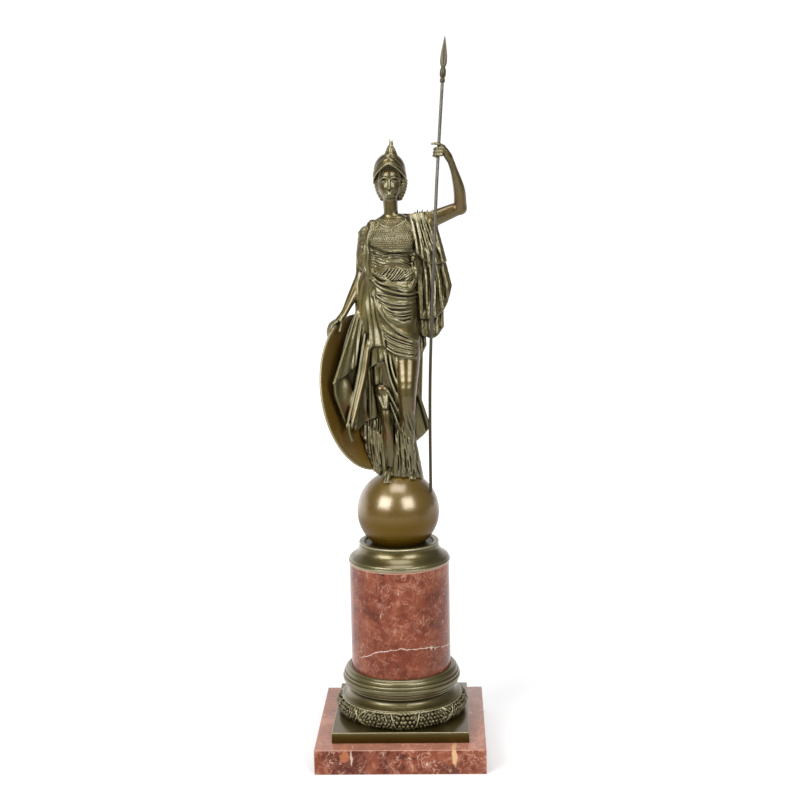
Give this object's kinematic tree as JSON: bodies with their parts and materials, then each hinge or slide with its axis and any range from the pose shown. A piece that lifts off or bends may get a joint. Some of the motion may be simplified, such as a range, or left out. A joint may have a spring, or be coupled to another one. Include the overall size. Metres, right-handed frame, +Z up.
{
  "type": "athena statue",
  "caption": "Bronze standing helmeted goddess with raised spear and round shield, on a globe, over a red marble column with bronze cap and wreathed base and a square marble slab.",
  "frame": {"origin": "middle of the slab's underside", "axes": "+Z up, the figure faces -Y, +X is at the figure's left hand"},
  "size_m": [0.2, 0.2, 0.8372],
  "materials": {
    "red_marble": "polished red marble with cream blotches and white veins",
    "patinated_bronze": "cast bronze with an olive brown patina, rubbed golden on the ridges and dark in the hollows",
    "globe_bronze": "smooth bronze with a glossy olive brown patina",
    "dark_steel": "dull grey drawn rod"
  },
  "bodies": {
    "root": {"marble_slab": "red_marble", "bronze_base": "patinated_bronze", "marble_drum": "red_marble", "bronze_cap": "patinated_bronze", "globe": "globe_bronze", "figure": "patinated_bronze", "shield": "patinated_bronze", "spear_shaft": "dark_steel", "spear_head": "patinated_bronze"}
  },
  "joints": []
}
